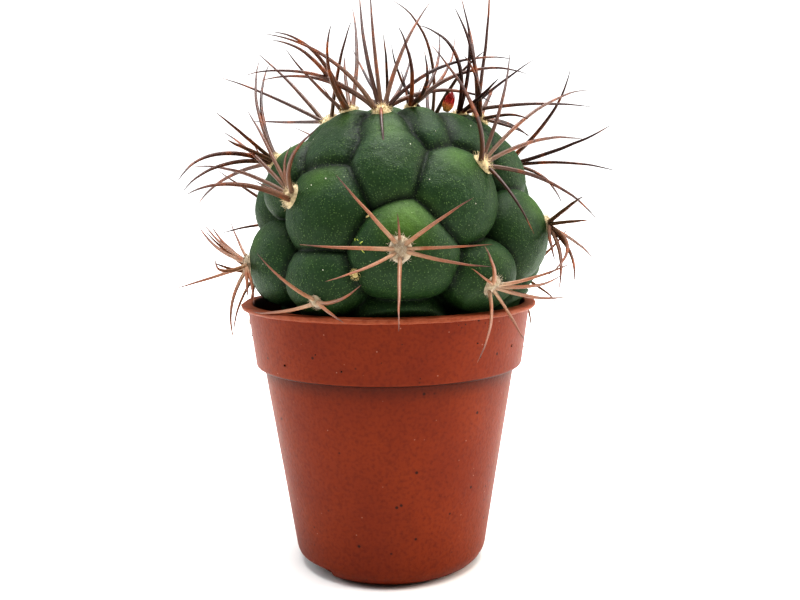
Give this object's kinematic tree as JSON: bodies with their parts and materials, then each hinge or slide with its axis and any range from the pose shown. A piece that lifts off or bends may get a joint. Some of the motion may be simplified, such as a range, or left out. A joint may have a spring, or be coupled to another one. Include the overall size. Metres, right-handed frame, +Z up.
{
  "type": "potted cactus",
  "caption": "Round ribbed cactus with bulging tubercles and long curved spines, growing in a small tapered plastic nursery pot with a collar.",
  "frame": {"origin": "centre of the pot's flat base, on the surface it stands on", "axes": "+Z up along the pot's axis, -Y towards the front, +X to the right seen from the front"},
  "size_m": [0.0824, 0.0794, 0.1072],
  "materials": {
    "pot_plastic": "moulded polypropylene, satin, slightly dusty",
    "soil": "loose dark peat with a little grit",
    "skin": "matt waxy green skin with fine pale dots",
    "spines": "horny spines, red brown with dark tips, from pale felt",
    "wool": "cream crown wool",
    "bud": "smooth red bud scales"
  },
  "bodies": {
    "root": {"pot": "pot_plastic", "soil": "soil", "stem": "skin", "crown_wool": "wool", "flower_bud": "bud", "areole_a2": "spines", "areole_a3": "spines", "areole_b2": "spines", "areole_b3": "spines", "areole_b4": "spines", "areole_c2": "spines", "areole_c3": "spines", "areole_d2": "spines", "areole_d3": "spines", "areole_e2": "spines", "areole_e3": "spines", "areole_f2": "spines", "areole_f3": "spines", "areole_g2": "spines", "areole_g3": "spines", "areole_h1": "spines", "areole_h2": "spines", "areole_h3": "spines", "areole_i2": "spines", "areole_i3": "spines", "areole_i4": "spines", "areole_j4": "spines", "areole_k4": "spines"}
  },
  "joints": []
}
